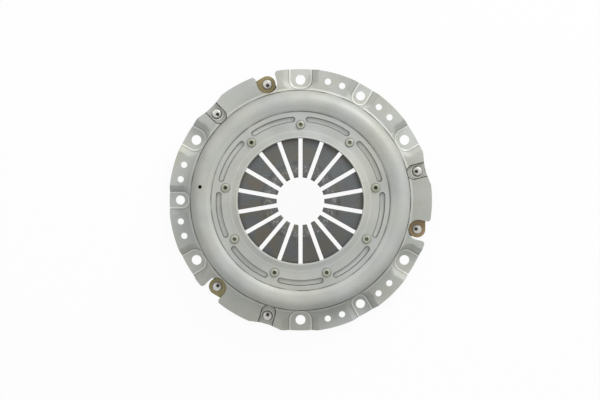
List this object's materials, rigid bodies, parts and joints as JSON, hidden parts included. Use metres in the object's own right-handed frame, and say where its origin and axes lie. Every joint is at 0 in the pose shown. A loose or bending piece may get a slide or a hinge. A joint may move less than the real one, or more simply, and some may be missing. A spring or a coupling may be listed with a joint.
{
  "type": "clutch pressure plate",
  "caption": "Push-type clutch cover assembly: a pressed steel cover clamps a diaphragm spring that presses a strap-driven iron plate.",
  "frame": {"origin": "on the clutch axis, in the plane of the mounting pads' undersides, where the cover bolts to the flywheel", "axes": "+Z along the clutch axis, away from the flywheel and towards the release bearing; +Y through a bolt pad"},
  "size_m": [0.242, 0.242, 0.037],
  "materials": {
    "cover_steel": "dull pressed steel",
    "spring_steel": "dark tempered spring steel",
    "wire_steel": "drawn wire",
    "strap_steel": "straw tempered spring strip",
    "fulcrum_rivet_steel": "zinc plated, dull yellow",
    "strap_rivet_steel": "bright upset steel",
    "plate_iron": "cast, with a ground friction face"
  },
  "bodies": {
    "cover": {"cover": "cover_steel", "cover_strap_rivet_1": "strap_rivet_steel", "cover_strap_rivet_2": "strap_rivet_steel", "cover_strap_rivet_3": "strap_rivet_steel", "diaphragm_spring": "spring_steel", "drive_strap_1_leaf_1": "strap_steel", "drive_strap_1_leaf_2": "strap_steel", "drive_strap_1_leaf_3": "strap_steel", "drive_strap_2_leaf_1": "strap_steel", "drive_strap_2_leaf_2": "strap_steel", "drive_strap_2_leaf_3": "strap_steel", "drive_strap_3_leaf_1": "strap_steel", "drive_strap_3_leaf_2": "strap_steel", "drive_strap_3_leaf_3": "strap_steel", "fulcrum_ring": "wire_steel", "fulcrum_rivet_1": "fulcrum_rivet_steel", "fulcrum_rivet_2": "fulcrum_rivet_steel", "fulcrum_rivet_3": "fulcrum_rivet_steel", "fulcrum_rivet_4": "fulcrum_rivet_steel", "fulcrum_rivet_5": "fulcrum_rivet_steel", "fulcrum_rivet_6": "fulcrum_rivet_steel", "fulcrum_rivet_7": "fulcrum_rivet_steel", "fulcrum_rivet_8": "fulcrum_rivet_steel", "fulcrum_rivet_9": "fulcrum_rivet_steel"},
    "pressure_plate": {"plate_strap_rivet_1": "strap_rivet_steel", "plate_strap_rivet_2": "strap_rivet_steel", "plate_strap_rivet_3": "strap_rivet_steel", "pressure_plate": "plate_iron"}
  },
  "joints": [
    {"name": "plate_lift", "type": "slide", "parent": "cover", "child": "pressure_plate", "axis": [0, 0, 1], "range_m": [0, 0.0028], "stiffness_N_per_m": 60000, "springref_m": -0.001, "deforming": ["diaphragm_spring", "drive_strap_1_leaf_1", "drive_strap_1_leaf_2", "drive_strap_1_leaf_3", "drive_strap_2_leaf_1", "drive_strap_2_leaf_2", "drive_strap_2_leaf_3", "drive_strap_3_leaf_1", "drive_strap_3_leaf_2", "drive_strap_3_leaf_3"]}
  ]
}
